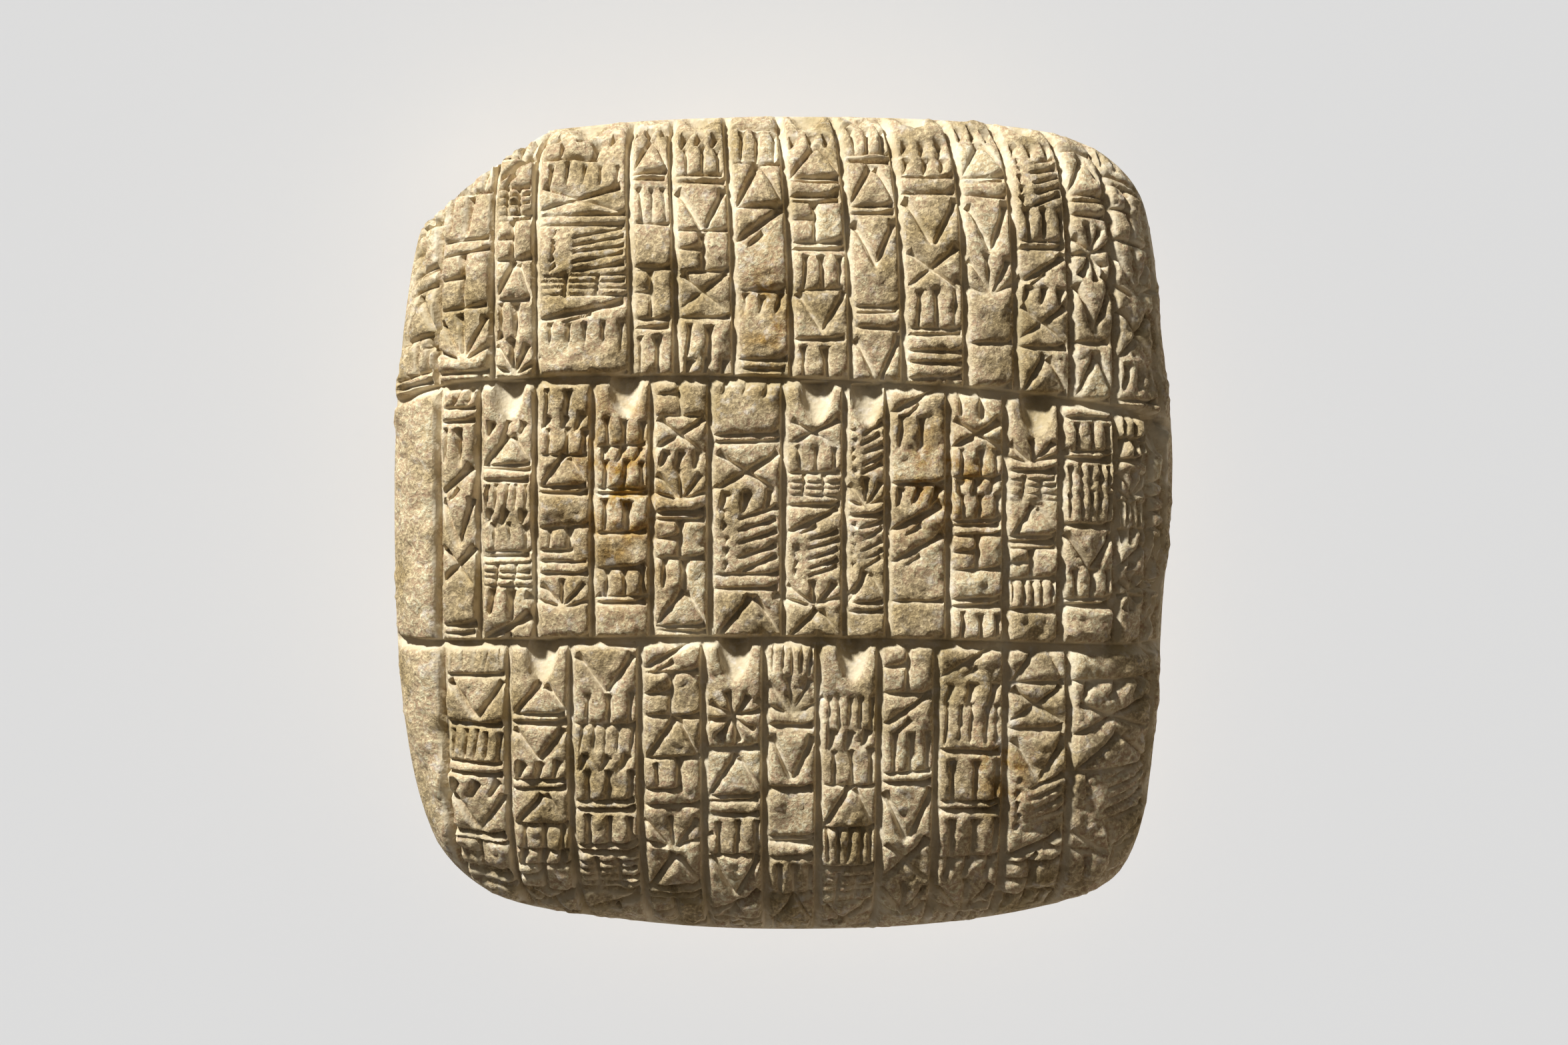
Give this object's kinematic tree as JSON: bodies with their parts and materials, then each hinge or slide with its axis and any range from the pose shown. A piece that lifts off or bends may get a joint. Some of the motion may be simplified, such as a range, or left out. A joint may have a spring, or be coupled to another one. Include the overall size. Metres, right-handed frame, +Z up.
{
  "type": "cuneiform tablet",
  "caption": "Square, cushion-shaped clay tablet: three ruled registers of narrow cases filled with wedge strokes, one corner broken off.",
  "frame": {"origin": "middle of the flattened spot under the convex back, in the plane it rests on", "axes": "+Z up out of the written face, +Y towards the top edge of the writing, +X to the right of the writing"},
  "size_m": [0.0958, 0.1001, 0.027],
  "materials": {
    "clay": "matte, dry, sun-baked buff clay with a crusty skin"
  },
  "bodies": {
    "root": {"tablet": "clay"}
  },
  "joints": []
}
